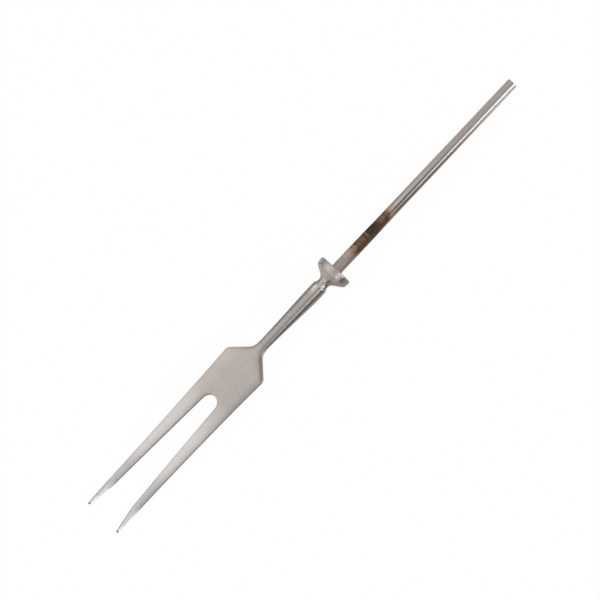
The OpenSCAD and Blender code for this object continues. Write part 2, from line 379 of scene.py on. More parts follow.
def tine_stations(forging):
    """Stations from a point to the root of the slot, with the place and direction of the slot's wall at each."""
    head = forging.head
    lean = head.slot_lean
    tangent_x = forging.slot_centre_x + forging.slot_radius * math.sin(lean)
    point_steps = 56
    tine_steps = 56
    root_steps = 16
    root_reach = 0.0045
    point = forging.tip_x + head.point_length * np.linspace(0, 1, point_steps) ** 1.5
    tine = np.linspace(forging.point_x, tangent_x, tine_steps + 1)[1:]
    stations = []
    slots = []
    for x in np.concatenate([point, tine]):
        wall = (x, float(forging.head_half_width(x)))
        slot = np.array([x, forging.slot_side(x)])
        towards_slot = np.array([0.0, -1.0])
        stations.append(head_station(forging, wall, (0, 1), slot - head.edge_rounding * towards_slot))
        slots.append((slot, towards_slot))
    for i in range(1, root_steps + 1):
        f = i / root_steps
        a = (math.pi / 2 - lean) * (1 - f)
        direction = np.array([math.cos(a), math.sin(a)])
        slot = np.array([forging.slot_centre_x, 0]) + forging.slot_radius * direction
        x = mix(tangent_x, forging.slot_x + root_reach, f)
        wall = (x, float(forging.head_half_width(x)))
        stations.append(head_station(forging, wall, (0, 1), slot + head.edge_rounding * direction))
        slots.append((slot, -direction))
    return stations, slots


def shoulder_outline(forging):
    """The edge round the shoulder to the neck, as rows of x, y and the angle of the outward direction."""
    head = forging.head
    half = forging.head_width / 2
    outline = []
    corner_steps = 7
    for a in np.linspace(0, head.shoulder_angle, corner_steps):
        r = head.shoulder_corner
        outline.append((forging.corner_x + r * math.sin(a), half - r * (1 - math.cos(a)), a))
    fillet_steps = 12
    straight_steps = 12
    r = head.shoulder_fillet
    neck_half = forging.neck.neck_width / 2
    fillet = [
        (forging.neck_x - r * math.sin(a), neck_half + r * (1 - math.cos(a)), a)
        for a in np.linspace(head.shoulder_angle, 0, fillet_steps)
    ]
    corner_end = outline[-1]
    for f in np.linspace(0, 1, straight_steps + 1)[1:-1]:
        outline.append(tuple(mix(np.array(corner_end), np.array(fillet[0]), f)))
    return np.array(outline + fillet)


def shoulder_stations(forging, root):
    """Stations of the solid head, from the root of the slot to the neck."""
    side_steps = 12
    side_end = forging.corner_x - forging.corner_run
    outline = [
        (x, float(forging.head_half_width(x)), 0.0)
        for x in np.linspace(root.wall[0], side_end, side_steps + 1)[1:]
    ]
    stations = []
    for x, y, a in outline + list(forging.outline):
        f = share(x, root.wall[0], forging.neck_x)
        inner = (mix(root.inner[0], forging.neck_x, f), 0.0)
        stations.append(head_station(forging, (x, y), (math.sin(a), math.cos(a)), inner))
    return stations


def neck_rings(forging):
    """Half rings from the neck's front end to the stub's far end."""
    neck = forging.neck
    edge = forging.head.edge_rounding
    rings = []
    neck_steps = 36
    for i in range(1, neck_steps + 1):
        f = i / neck_steps
        growth = f**neck.neck_belly
        thickness = mix(neck.neck_thickness, neck.swell_thickness, growth)
        top = mix(
            neck.neck_rise + neck.neck_thickness / 2,
            neck.swell_rise + neck.swell_thickness / 2,
            f,
        )
        rings.append(
            section_half_ring(
                mix(forging.neck_x, forging.swell_front_x, f),
                mix(neck.neck_width, neck.swell_width, growth),
                thickness,
                top - thickness / 2,
                mix(edge, neck.neck_edge, math.sqrt(f)),
                neck.neck_crown,
            )
        )
    shape = [neck.swell_rise, neck.neck_edge, neck.neck_crown]
    swell = np.array([neck.swell_width, neck.swell_thickness, *shape])
    waist = np.array([neck.waist_width, neck.waist_thickness, *shape])
    rim = np.array(
        [
            neck.bolster_width,
            forging.bolster_height,
            forging.bolster_rise,
            neck.bolster_corner,
            neck.bolster_crown,
        ]
    )
    band = rim - neck.band_draft * INSET
    stretches = [
        (forging.swell_front_x, forging.swell_back_x, swell, swell, 6, smooth),
        (forging.swell_back_x, forging.waist_x, swell, waist, 12, smooth),
        (forging.waist_x, forging.flare_x, waist, waist, 4, smooth),
        (forging.flare_x, -neck.band_length, waist, band, 30, flared),
        (-neck.band_length, -neck.band_edge, band, rim, 6, smooth),
    ]
    for start, end, first, last, steps, blend in stretches:
        for f in np.linspace(0, 1, steps + 1)[1:]:
            rings.append(section_half_ring(mix(start, end, f), *mix(first, last, blend(f))))
    return rings + back_rings(neck, rim)


def back_rings(neck, rim):
    """Half rings over the band's back edge, across its back face, and along the stub to the root of the weld."""
    rings = []
    edge_steps = 6
    for a in np.linspace(0, math.pi / 2, edge_steps + 1)[1:]:
        inset = neck.band_edge * (1 - math.cos(a))
        rings.append(section_half_ring(neck.band_edge * (math.sin(a) - 1), *(rim - inset * INSET)))
    outer = rim - neck.band_edge * INSET
    stub = np.array([neck.stub_size, neck.stub_size, 0, neck.bar_edge, neck.bar_crown])
    foot = stub + neck.stub_fillet * INSET
    face_steps = (0.03, 0.5, 0.96, 1.0)
    for f in face_steps:
        rings.append(section_half_ring(0.0, *mix(outer, foot, f)))
    fillet_steps = 5
    for a in np.linspace(0, math.pi / 2, fillet_steps + 1)[1:]:
        inset = neck.stub_fillet * math.sin(a)
        rings.append(section_half_ring(neck.stub_fillet * (1 - math.cos(a)), *(foot - inset * INSET)))
    stub_steps = 24
    for x in np.linspace(neck.stub_fillet, WELD_LOW.x, stub_steps + 1)[1:]:
        rings.append(section_half_ring(x, *stub))
    rings.append(section_half_ring(ROD_LOW.x, *root_section(neck)))
    return rings


def root_section(neck):
    """Width, thickness, height, corner radius and crown of the face where the stub and the rod meet."""
    radius = neck.weld_root * neck.bar_edge / neck.stub_size
    return (neck.weld_root, neck.weld_root, 0, radius, neck.bar_crown)


def section_half_ring(x, *section):
    """Points across the neck or bolster, from the middle of the upper face round to the middle of the lower."""
    shape = Section(*section)
    turns = shape.turns(FACE_STEPS)
    lower = math.pi - turns[:-1][::-1]
    return [(x, *shape.point(a)) for a in np.concatenate([turns, lower])]


def edge_points(forging, wall, outward, radius, slope):
    """Points from a face's edge round and down a wall to the lower face's edge, both edges included."""
    arc = np.linspace(slope, math.pi / 2, ARC_STEPS + 1)
    plan = [wall - radius * (1 - math.sin(a)) * outward for a in arc]
    fall = [radius * (math.cos(slope) - math.cos(a)) for a in arc]
    half = forging.top(plan[0]) - forging.middle(plan[0][0])
    upper = [(*p, forging.middle(p[0]) + half - d) for p, d in zip(plan, fall)]
    lower = [(*p, forging.middle(p[0]) - half + d) for p, d in zip(plan, fall)]
    side = [(*wall, mix(upper[-1][2], lower[-1][2], f)) for f in np.linspace(0, 1, WALL_STEPS + 1)[1:-1]]
    return upper + side + lower[::-1]


def half_ring(forging, station):
    """Points of one station, from the middle of the upper face round the outer wall to the middle of the lower."""
    rim = edge_points(forging, station.wall, station.outward, station.radius, station.slope)
    across = np.array(rim[0][:2]) - station.inner
    support = min(0.35, 0.0002 / max(np.linalg.norm(across), 0.0002))
    shares = np.concatenate([[0.0], np.linspace(support, 1 - support, FACE_STEPS - 1)])
    plan = [station.inner + across * f for f in shares]
    upper = [(*p, forging.top(p)) for p in plan]
    lower = [(*p, forging.bottom(p)) for p in plan[::-1]]
    return upper + rim + lower


def slot_ring(forging, station, slot, towards_slot):
    """Points down one place of the slot's wall, from the upper face to the lower, without those two end points."""
    return edge_points(forging, slot, towards_slot, station.radius, 0.0)[1:-1]


def strip_faces(first, second):
    """Quads between two rows of vertex numbers of the same length."""
    return [
        (first[i], first[i + 1], second[i + 1], second[i])
        for i in range(len(first) - 1)
    ]


def outline_distance(points, stations, slots):
    """Distance in plan from each point to the nearest edge of the head or of the slot."""
    outer = np.array([s.wall for s in stations])
    inner = np.array([slot for slot, _ in slots])
    nearest = np.full(len(points), np.inf)
    for line in (outer, inner):
        start = line[:-1]
        along = line[1:] - start
        size = np.maximum((along**2).sum(1), 1e-18)
        for a, d, s in zip(start, along, size):
            f = np.clip(((points - a) @ d) / s, 0, 1)
            away = points - (a + f[:, None] * d)
            nearest = np.minimum(nearest, np.sqrt((away**2).sum(1)))
    return nearest


def roll_edges(forging, points, stations, slots):
    """Takes the head's faces down towards their edges, as buffing does."""
    head = forging.head
    on_head = points[:, 0] <= forging.neck_x
    x, y, z = points[on_head].T
    distance = outline_distance(points[on_head][:, :2], stations, slots)
    corner_run = 0.004
    at_shoulder = eased(x, forging.shoulder_x - corner_run, forging.shoulder_x)
    width = mix(head.roll_width, head.shoulder_roll_width, at_shoulder)
    depth = mix(head.roll_depth, head.shoulder_roll_depth, at_shoulder)
    depth = depth * np.clip(1 - distance / width, 0, 1) ** 2
    crown_start = forging.slot_x - 0.02
    crown_end = forging.slot_x + 0.01
    depth = depth + head.head_crown * eased(x, crown_start, crown_end) * (y / forging.head_width * 2) ** 2
    neck_run = 0.006
    depth = depth * (1 - eased(x, forging.neck_x - neck_run, forging.neck_x))
    half = forging.thickness(x) / 2
    points[on_head, 2] -= depth * np.clip((z - forging.middle(x)) / half, -1, 1)


def grind_points(forging, points):
    """Brings what lies outside a tine's cone back to the cone, with the crease a little softened."""
    head = forging.head
    outer = head.tine_span / 2
    inner = forging.slot_side(forging.point_x)
    root = np.array([forging.point_x, (outer + inner) / 2, forging.middle(forging.point_x)])
    tip = np.array(
        [
            forging.tip_x,
            outer - head.point_inset - head.point_diameter / 2,
            forging.middle(forging.tip_x),
        ]
    )
    run = root - tip
    axis = run / np.linalg.norm(run)
    root_radius = math.hypot(outer - inner, head.tine_thickness) / 2
    end_radius = head.point_diameter / 2
    near = points[:, 0] < forging.point_x + 0.001
    along = (points[near] - tip) @ axis
    centre = tip + np.outer(along, axis)
    spoke = points[near] - centre
    reach = np.maximum(np.linalg.norm(spoke, axis=1), 1e-9)
    cone = end_radius + (root_radius - end_radius) * along / np.linalg.norm(run)
    nose = np.clip(along / (0.9 * end_radius), 0, 1)
    cone = np.maximum(cone * np.sqrt(1 - (1 - nose) ** 2), 1e-9)
    softness = 24
    ground = (reach**-softness + cone**-softness) ** (-1 / softness)
    points[near] = centre + spoke * (ground / reach)[:, None]
    points[:, 0] = np.maximum(points[:, 0], forging.tip_x)


def forging_half():
    """Points and faces of the half of the forging with y above 0."""
    forging = Forging(*sizes())
    tines, slots = tine_stations(forging)
    shoulder = shoulder_stations(forging, tines[-1])
    rings = [half_ring(forging, station) for station in tines + shoulder] + neck_rings(forging)
    points = []
    rows = []
    for ring in rings:
        rows.append(list(range(len(points), len(points) + len(ring))))
        points += ring
    slot_rows = []
    for station, row, (slot, towards_slot) in zip(tines, rows, slots):
        wall = slot_ring(forging, station, slot, towards_slot)
        numbers = list(range(len(points), len(points) + len(wall)))
        slot_rows.append([row[0]] + numbers + [row[-1]])
        points += wall
    faces = []
    for first, second in zip(rows[:-1], rows[1:]):
        faces += strip_faces(first, second)
    for first, second in zip(slot_rows[:-1], slot_rows[1:]):
        faces += strip_faces(second, first)
    points = np.array(points)
    roll_edges(forging, points, tines + shoulder, slots)
    grind_points(forging, points)
    end_cap = tuple(rows[-1])
    return points, faces + [end_cap]


def mesh_object(name, points, faces, mirrored=False):
    """A smooth-shaded mesh object. Mirrored adds the other half across y = 0."""
    points = [tuple(p) for p in points]
    faces = [tuple(f) for f in faces]
    if mirrored:
        count = len(points)
        points += [(x, -y, z) for x, y, z in points]
        faces += [tuple(i + count for i in reversed(f)) for f in faces]
    mesh = bpy.data.meshes.new(name)
    mesh.from_pydata(points, [], faces)
    shape = bmesh.new()
    shape.from_mesh(mesh)
    bmesh.ops.remove_doubles(shape, verts=shape.verts, dist=MERGE_DISTANCE)
    bmesh.ops.dissolve_degenerate(shape, edges=shape.edges, dist=MERGE_DISTANCE)
    bmesh.ops.recalc_face_normals(shape, faces=shape.faces)
    for face in shape.faces:
        face.smooth = True
    shape.to_mesh(mesh)
    shape.free()
    piece = bpy.data.objects.new(name, mesh)
    bpy.context.scene.collection.objects.link(piece)
    return piece


def ring(x, width, thickness, middle, radius, crown, face_steps=4):
    """A whole ring across the X axis, with a number of steps across half of each face."""
    shape = Section(width, thickness, middle, radius, crown)
    face = np.linspace(-crown, crown, 2 * face_steps + 1)[:-1]
    corner = np.linspace(crown, math.pi / 2 - crown, ARC_STEPS + 1)[:-1]
    quarter = np.concatenate([face, corner])
    turns = np.concatenate([quarter + start for start in np.radians([0, 90, 180, 270])])
    return [(x, *shape.point(a)) for a in turns]


def loft(name, rings, closed=False):
    """An object from rings that follow one another. A closed one runs from its last ring back to its first."""
    count = len(rings[0])
    points = [p for r in rings for p in r]
    faces = []
    pairs = len(rings) if closed else len(rings) - 1
    for j in range(pairs):
        here = j * count
        there = (j + 1) % len(rings) * count
        for i in range(count):
            k = (i + 1) % count
            faces.append((here + i, there + i, there + k, here + k))
    if not closed:
        faces.append(tuple(range(count)))
        faces.append(tuple(range((len(rings) - 1) * count, len(rings) * count)))
    return mesh_object(name, points, faces)


def roughened(points, depth, fade):
    """A ring's points moved in or out by a fixed noise. Fade lessens it at the weld's two edges."""
    lumps_per_metre = 900
    pits_per_metre = 2600
    moved = []
    for p in points:
        place = Vector(p)
        away = Vector((0, place.y, place.z)).normalized()
        lumps = noise.noise(place * lumps_per_metre)
        pits = noise.noise(place * pits_per_metre + Vector((7, 3, 5)))
        moved.append(tuple(place + away * depth * fade * (0.7 * lumps + 0.5 * pits)))
    return moved


def dress(piece, node, material):
    """Gives a piece its material and sets it in the place of its CAD node."""
    piece.data.materials.append(material)
    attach(piece, "root")
    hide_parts(node)


class Nodes:
    """Adds shader nodes to one node tree, with their settings and inputs in one call each."""

    def __init__(self, tree):
        self.tree = tree
        self.tree.nodes.clear()

    def add(self, kind, inputs=None, **settings):
        """Adds a node. An input is a plain value, or a socket to link from."""
        node = self.tree.nodes.new(kind)
        for name, value in settings.items():
            setattr(node, name, value)
        for key, value in (inputs or {}).items():
            if isinstance(value, bpy.types.NodeSocket):
                self.tree.links.new(value, node.inputs[key])
            else:
                node.inputs[key].default_value = value
        return node

    def math(self, operation, a, b=0.0, clamp=False):
        """A Math node's result."""
        return self.add("ShaderNodeMath", {0: a, 1: b}, operation=operation, use_clamp=clamp).outputs[0]

    def blend(self, f, a, b, mode="MIX"):
        """Two colours blended by a factor."""
        node = self.add("ShaderNodeMix", data_type="RGBA", blend_type=mode)
        for index, value in ((0, f), (6, a), (7, b)):
            if isinstance(value, bpy.types.NodeSocket):
                self.tree.links.new(value, node.inputs[index])
            elif index == 0:
                node.inputs[index].default_value = value
            else:
                node.inputs[index].default_value = (*value[:3], 1.0)
        return node.outputs[2]

    def ramp(self, value, low, high, start=0.0, end=1.0):
        """A value from low to high mapped to the range from start to end, and held there."""
        node = self.add(
            "ShaderNodeMapRange",
            {"Value": value, "From Min": low, "From Max": high, "To Min": start, "To Max": end},
        )
        return node.outputs["Result"]

    def noise(self, scale, stretch=(1, 1, 1), detail=3.0, roughness=0.55, distortion=0.0, shift=(0, 0, 0)):
        """Noise in the part's own frame, with scale in cycles a metre, squeezed along each axis by stretch."""
        place = self.add("ShaderNodeTexCoord").outputs["Object"]
        squeezed = self.add(
            "ShaderNodeMapping", {"Vector": place, "Scale": stretch, "Location": shift}
        ).outputs["Vector"]
        node = self.add(
            "ShaderNodeTexNoise",
            {
                "Vector": squeezed,
                "Scale": scale,
                "Detail": detail,
                "Roughness": roughness,
                "Distortion": distortion,
            },
        )
        return node.outputs["Fac"]

    def along(self):
        """The place along the part's X axis, in metres."""
        place = self.add("ShaderNodeTexCoord").outputs["Object"]
        return self.add("ShaderNodeSeparateXYZ", {0: place}).outputs["X"]

    def between(self, start, end, fade):
        """1 between two places along X, and 0 farther than fade outside them."""
        x = self.along()
        return self.math("MULTIPLY", self.ramp(x, start - fade, start), self.ramp(x, end, end + fade, 1.0, 0.0))

    def turn(self):
        """Angle in degrees by which the surface turns about the X axis, from 0 on a face to 90 on a side."""
        normal = self.add("ShaderNodeTexCoord").outputs["Normal"]
        parts = self.add("ShaderNodeSeparateXYZ", {0: normal}).outputs
        sideways = self.math("ABSOLUTE", parts["Y"])
        upright = self.math("ABSOLUTE", parts["Z"])
        return self.math("DEGREES", self.math("ARCTAN2", sideways, upright))

    def turn_right(self):
        """Angle in degrees by which the surface turns towards the part's -Y side, negative on the other side."""
        normal = self.add("ShaderNodeTexCoord").outputs["Normal"]
        parts = self.add("ShaderNodeSeparateXYZ", {0: normal}).outputs
        sideways = self.math("MULTIPLY", parts["Y"], -1.0)
        return self.math("DEGREES", self.math("ARCTAN2", sideways, self.math("ABSOLUTE", parts["Z"])))

    def across(self):
        """The place along the part's Y axis, in metres."""
        place = self.add("ShaderNodeTexCoord").outputs["Object"]
        return self.add("ShaderNodeSeparateXYZ", {0: place}).outputs["Y"]

    def lean(self):
        """How far the surface faces along the part's X axis: 0 on a face, 1 on an end."""
        normal = self.add("ShaderNodeTexCoord").outputs["Normal"]
        return self.math("ABSOLUTE", self.add("ShaderNodeSeparateXYZ", {0: normal}).outputs["X"])


def new_material(name):
    """An empty node material and its node adder."""
    material = bpy.data.materials.new(name)
    material.use_nodes = True
    return material, Nodes(material.node_tree)


def steel_surface(nodes, base, roughness, height, bump_distance, anisotropy=0.0):
    """A metal surface with its colour, roughness and fine relief, joined to the material's output."""
    bump = nodes.add(
        "ShaderNodeBump", {"Strength": 1.0, "Distance": bump_distance, "Height": height}
    ).outputs["Normal"]
    tangent = nodes.add("ShaderNodeTangent", direction_type="RADIAL", axis="X").outputs["Tangent"]
    surface = nodes.add(
        "ShaderNodeBsdfPrincipled",
        {
            "Base Color": base,
            "Roughness": roughness,
            "Normal": bump,
            "Tangent": tangent,
            "Metallic": 1.0,
            "Anisotropic": anisotropy,
        },
    )
    nodes.add("ShaderNodeOutputMaterial", {"Surface": surface.outputs["BSDF"]})
    return surface


def painted_side_shade(nodes, steel, line, side):
    """Steel with a painted dark line round its edges and darker sides, partly less polished steel and partly painted
    shade for the dark reflection of the floor near the fork, both stronger on the -Y side.
    """
    turn = nodes.turn()
    # Painted shade, stronger on the -Y side: a dark line where the surface has turned about 45 degrees, then darker
    # sides
    side_shade_strength = nodes.ramp(nodes.turn_right(), -10, 10, 0.65, 1.0)
    stopped = nodes.blend(nodes.math("MULTIPLY", nodes.ramp(turn, 38, 52), side_shade_strength), steel, line)
    return nodes.blend(nodes.math("MULTIPLY", nodes.ramp(turn, 58, 74), side_shade_strength), stopped, side)


def heat_tint(nodes, steel, colours):
    """Steel with the bands that the welding heat left on it: straw far off, then brown, then black at the weld."""
    x = nodes.along()
    past_rod = nodes.math("SUBTRACT", x, WELD_HIGH.x)
    past_stub = nodes.math("SUBTRACT", WELD_LOW.x, x)
    from_weld = nodes.math("MAXIMUM", past_rod, past_stub)
    heat = nodes.math("MAXIMUM", nodes.math("ADD", past_rod, 0.0006), nodes.math("SUBTRACT", past_stub, 0.001))
    wander = nodes.ramp(nodes.noise(420, detail=4), 0.3, 0.7, -0.0014, 0.0014)
    side = nodes.ramp(nodes.turn_right(), 0, 20)
    side_shift = nodes.math("MULTIPLY", side, nodes.ramp(past_stub, -0.006, 0.0, -0.001, 0.0016))
    spread = nodes.math("SUBTRACT", wander, side_shift)
    distance = nodes.math("ADD", heat, spread)
    blotch = nodes.ramp(nodes.noise(1.0, stretch=(700, 160, 160), detail=4, shift=(3, 1, 2)), 0.4, 0.6)
    burnt = nodes.ramp(nodes.noise(1.0, stretch=(950, 220, 220), detail=5, shift=(9, 4, 5)), 0.5, 0.66, 0.0, 0.8)
    brown = nodes.blend(blotch, colours.brown, colours.purple)
    brown = nodes.blend(burnt, brown, colours.burnt)
    brown = nodes.blend(nodes.math("MULTIPLY", side, 0.85), brown, colours.burnt)
    straw = nodes.blend(nodes.math("MULTIPLY", side, 0.9), colours.straw, colours.brown)
    straw = nodes.blend(nodes.ramp(distance, 0.0095, 0.0148), straw, steel)
    tinted = nodes.blend(nodes.ramp(distance, 0.0075, 0.0105), brown, straw)
    for middle, half_width, strength in ((0.007, 0.0013, 0.75), (0.0006, 0.0009, 0.7)):
        off_line = nodes.math("ABSOLUTE", nodes.math("SUBTRACT", distance, middle))
        tinted = nodes.blend(nodes.ramp(off_line, 0.0, half_width, strength, 0.0), tinted, colours.burnt)
    scale_edge = nodes.math("ADD", from_weld, nodes.math("MULTIPLY", spread, 0.4))
    return nodes.blend(nodes.ramp(scale_edge, -0.0006, 0.0004), colours.scale, tinted), distance


def buffed_steel(nodes, streaks):
    """Colour of the forging's buffed faces, duller along the neck, with a painted reflection on the tines, painted
    highlights on the flare and the swell, and painted shade on the shoulders' rolled edges, in the flare's corner and
    across the head.
    """
    colours = bpy.context.scene.fork_colours
    mottle = nodes.ramp(nodes.noise(75, detail=4, distortion=0.4), 0.35, 0.65)
    steel = nodes.blend(mottle, colours.steel_warm, colours.steel_cool)
    # Painted reflection: the tines brighter, and cooler and darker on their outer third
    on_tines = nodes.ramp(nodes.along(), -0.093, -0.118)
    steel = nodes.blend(on_tines, steel, colours.tine_reflection)
    steel = nodes.blend(nodes.ramp(nodes.along(), -0.1425, -0.1535), steel, colours.outer_tine_reflection)
    # Painted shade: the shoulders' rolled edges darker on their -Y side
    rolled = nodes.math("MULTIPLY", nodes.ramp(nodes.lean(), 0.05, 0.14), nodes.ramp(nodes.turn_right(), 3, 8, 0.0, 0.5))
    rolled = nodes.math("MULTIPLY", rolled, nodes.between(-0.074, -0.06, 0.003))
    steel = nodes.blend(rolled, steel, colours.shade_line)
    steel = nodes.blend(nodes.between(-0.057, -0.021, 0.004), steel, colours.neck_steel)
    steel = nodes.blend(nodes.between(-0.0032, 0.001, 0.001), steel, colours.band_steel)
    # Painted highlight: the upper face brighter where the flare begins
    face = nodes.math("MULTIPLY", nodes.ramp(nodes.turn_right(), -12, 0), nodes.ramp(nodes.turn_right(), 12, 18, 1.0, 0.0))
    painted = nodes.math("MULTIPLY", face, nodes.between(-0.0084, -0.0062, 0.0012))
    steel = nodes.blend(painted, steel, colours.flare_highlight)
    # Painted highlight: a small bright patch on the +Y half of the swell, near its back end
    swell_highlight = nodes.math("MULTIPLY", nodes.ramp(nodes.turn_right(), -12, -8), nodes.ramp(nodes.turn_right(), -4, 0, 0.38, 0.0))
    swell_highlight = nodes.math("MULTIPLY", swell_highlight, nodes.between(-0.0172, -0.0142, 0.0008))
    steel = nodes.blend(swell_highlight, steel, colours.highlight_steel)
    # Painted shade: a dark crease on the -Y edge where the flare begins
    corner = nodes.math("MULTIPLY", nodes.ramp(nodes.turn_right(), 14, 22, 0.0, 0.6), nodes.ramp(nodes.turn_right(), 50, 65, 1.0, 0.0))
    corner = nodes.math("MULTIPLY", corner, nodes.between(-0.0094, -0.0074, 0.0007))
    steel = nodes.blend(corner, steel, colours.shade_line)
    shade = nodes.ramp(streaks, 0.2, 0.8, 0.93, 1.06)
    # Painted shade and light: the head lighter towards its +Y edge and a little darker elsewhere
    on_head = nodes.between(-0.105, -0.064, 0.01)
    side_gradient_shade = nodes.math("MULTIPLY", nodes.ramp(nodes.across(), 0.005, 0.0145, -0.035, 0.12), on_head)
    shade = nodes.math("MULTIPLY", shade, nodes.math("ADD", side_gradient_shade, 1.0))
    grey = nodes.add("ShaderNodeCombineColor", {0: shade, 1: shade, 2: shade}).outputs[0]
    return nodes.blend(1.0, steel, grey, "MULTIPLY")


def forging_sides(nodes, steel, on_stub):
    """The forging's steel with painted shade on its sides, lighter on the steep parts of the bolster's flare and left
    off on the shoulders' sides, and a painted highlight on one side of the points.
    """
    colours = bpy.context.scene.fork_colours
    steep = nodes.ramp(nodes.lean(), 0.12, 0.35)
    on_flare = nodes.math("MULTIPLY", nodes.between(-0.012, 0.001, 0.002), steep)
    on_shoulder = nodes.math("MULTIPLY", nodes.between(-0.08, -0.05, 0.002), steep)
    on_band = nodes.between(-0.0032, 0.0005, 0.001)
    # The painted dark line round the edges: the band's own on the band, the stub's on the stub
    line = nodes.blend(on_band, colours.shade_line, colours.band_shade_line)
    line = nodes.blend(on_stub, line, colours.stub_shaded_side)
    # On the flare's steep parts the painted side shade is lighter, and on the shoulders' sides it is left off
    line = nodes.blend(on_flare, line, colours.flare_shaded_side)
    side = nodes.blend(on_flare, colours.dull_shaded_side, colours.flare_shaded_side)
    side = nodes.blend(on_shoulder, side, colours.steel_warm)
    # Painted highlight on the -Y side of the points, over faces, line and sides alike
    ground = nodes.math("MULTIPLY", nodes.ramp(nodes.along(), -0.165, -0.172), nodes.ramp(nodes.turn_right(), -4, 10))
    steel = nodes.blend(ground, steel, colours.point_highlight)
    line = nodes.blend(ground, line, colours.point_highlight)
    side = nodes.blend(ground, side, colours.point_highlight)
    blunt = nodes.ramp(nodes.along(), FORGING_LOW.x + 0.0016, FORGING_LOW.x + 0.0008)
    return nodes.blend(blunt, painted_side_shade(nodes, steel, line, side), colours.dull_shaded_side)


def satin_steel():
    """Satin stainless steel of the forging, with the heat tint at the end of its stub."""
    colours = bpy.context.scene.fork_colours
    material, nodes = new_material("satin_steel")
    streaks = nodes.noise(1.0, stretch=(90, 5200, 5200), detail=4)
    cloud = nodes.ramp(nodes.noise(430, detail=5), 0.25, 0.75)
    on_stub = nodes.ramp(nodes.along(), -0.0002, 0.0006)
    stub = nodes.blend(cloud, colours.stub_dark, colours.stub_light)
    # Painted shade: the stub darker where it turns towards the -Y side
    stub = nodes.blend(nodes.ramp(nodes.turn_right(), 6, 20, 0.0, 0.3), stub, colours.stub_shaded_side)
    steel = nodes.blend(on_stub, buffed_steel(nodes, streaks), stub)
    tinted, distance = heat_tint(nodes, forging_sides(nodes, steel, on_stub), colours)
    roughness = nodes.ramp(streaks, 0.2, 0.8, 0.25, 0.33)
    roughness = nodes.math("ADD", roughness, nodes.ramp(cloud, 0, 1, -0.03, 0.05))
    roughness = nodes.math("ADD", roughness, nodes.ramp(nodes.lean(), 0.1, 0.5, 0.0, 0.2))
    roughness = nodes.math("ADD", roughness, nodes.math("MULTIPLY", on_stub, 0.17))
    on_fall = nodes.between(-0.0145, -0.0115, 0.0015)
    roughness = nodes.math("SUBTRACT", roughness, nodes.math("MULTIPLY", on_fall, 0.1))
    on_neck = nodes.between(-0.057, -0.02, 0.003)
    marks = nodes.ramp(nodes.noise(1.0, stretch=(1100, 260, 260), detail=3, shift=(5, 2, 7)), 0.3, 0.7, -0.12, 0.12)
    marks = nodes.math("ADD", nodes.math("MULTIPLY", marks, on_neck), 1.0)
    grey = nodes.add("ShaderNodeCombineColor", {0: marks, 1: marks, 2: marks}).outputs[0]
    tinted = nodes.blend(1.0, tinted, grey, "MULTIPLY")
    steel_surface(nodes, tinted, roughness, streaks, 0.0000022, 0.35)
    return material


def rod_steel():
    """Drawn steel of the rod, tinted by the heat near the weld, with painted shade beside and below its edges, and a
    painted highlight on its edges that grows brighter farther off.
    """
    colours = bpy.context.scene.fork_colours
    material, nodes = new_material("rod_steel")
    streaks = nodes.noise(1.0, stretch=(140, 4200, 4200), detail=4)
    cloud = nodes.ramp(nodes.noise(520, detail=5), 0.25, 0.75)
    steel = nodes.blend(nodes.ramp(nodes.along(), 0.05, 0.085), colours.rod_steel, colours.rod_far)
    steel = nodes.blend(nodes.ramp(cloud, 0, 1, 0.0, 0.3), steel, colours.steel_cool)
    turn = nodes.turn()
    bright = nodes.ramp(nodes.along(), 0.045, 0.125)
    # Painted shade: a dark strip on the faces just inside each edge, strongest near the weld and on the -Y side
    groove = nodes.blend(nodes.ramp(bright, 0.1, 0.8), colours.shade_line, colours.steel_cool)
    right = nodes.ramp(nodes.turn_right(), -3, 3)
    left = nodes.math("MULTIPLY", nodes.ramp(right, 0, 1, 1.0, 0.0), nodes.ramp(bright, 0.0, 0.5, 0.4, 0.0))
    depth = nodes.math("ADD", nodes.math("MULTIPLY", right, 0.9), left)
    steel = nodes.blend(nodes.math("MULTIPLY", nodes.ramp(turn, 3.5, 6), depth), steel, groove)
    # Round the rod's edges: a painted dark line near the weld, turning into a painted highlight farther off
    line = nodes.blend(bright, colours.shade_line, colours.highlight_steel)
    # The rod's sides: painted shade near the weld, the rod's own colour farther off
    side = nodes.blend(nodes.ramp(bright, 0.5, 1.0), colours.rod_shaded_side, colours.rod_steel)
    steel = painted_side_shade(nodes, steel, line, side)
    tinted, distance = heat_tint(nodes, steel, colours)
    # Painted highlight on the rod's edges, growing brighter away from the weld
    painted = nodes.math("MULTIPLY", nodes.ramp(turn, 10, 17), nodes.ramp(turn, 38, 50, 1.0, 0.0))
    quick = nodes.ramp(distance, 0.0085, 0.012, 0.0, 0.35)
    painted = nodes.math("MULTIPLY", painted, nodes.math("ADD", quick, nodes.ramp(distance, 0.012, 0.06, 0.0, 0.65)))
    painted = nodes.math("MULTIPLY", painted, nodes.ramp(right, 0, 1, 0.85, 1.0))
    tinted = nodes.blend(painted, tinted, colours.highlight_steel)
    roughness = nodes.ramp(cloud, 0, 1, 0.18, 0.28)
    roughness = nodes.math("ADD", roughness, nodes.ramp(distance, 0.014, 0.0, 0.0, 0.3))
    steel_surface(nodes, tinted, roughness, streaks, 0.0000011, 0.2)
    return material


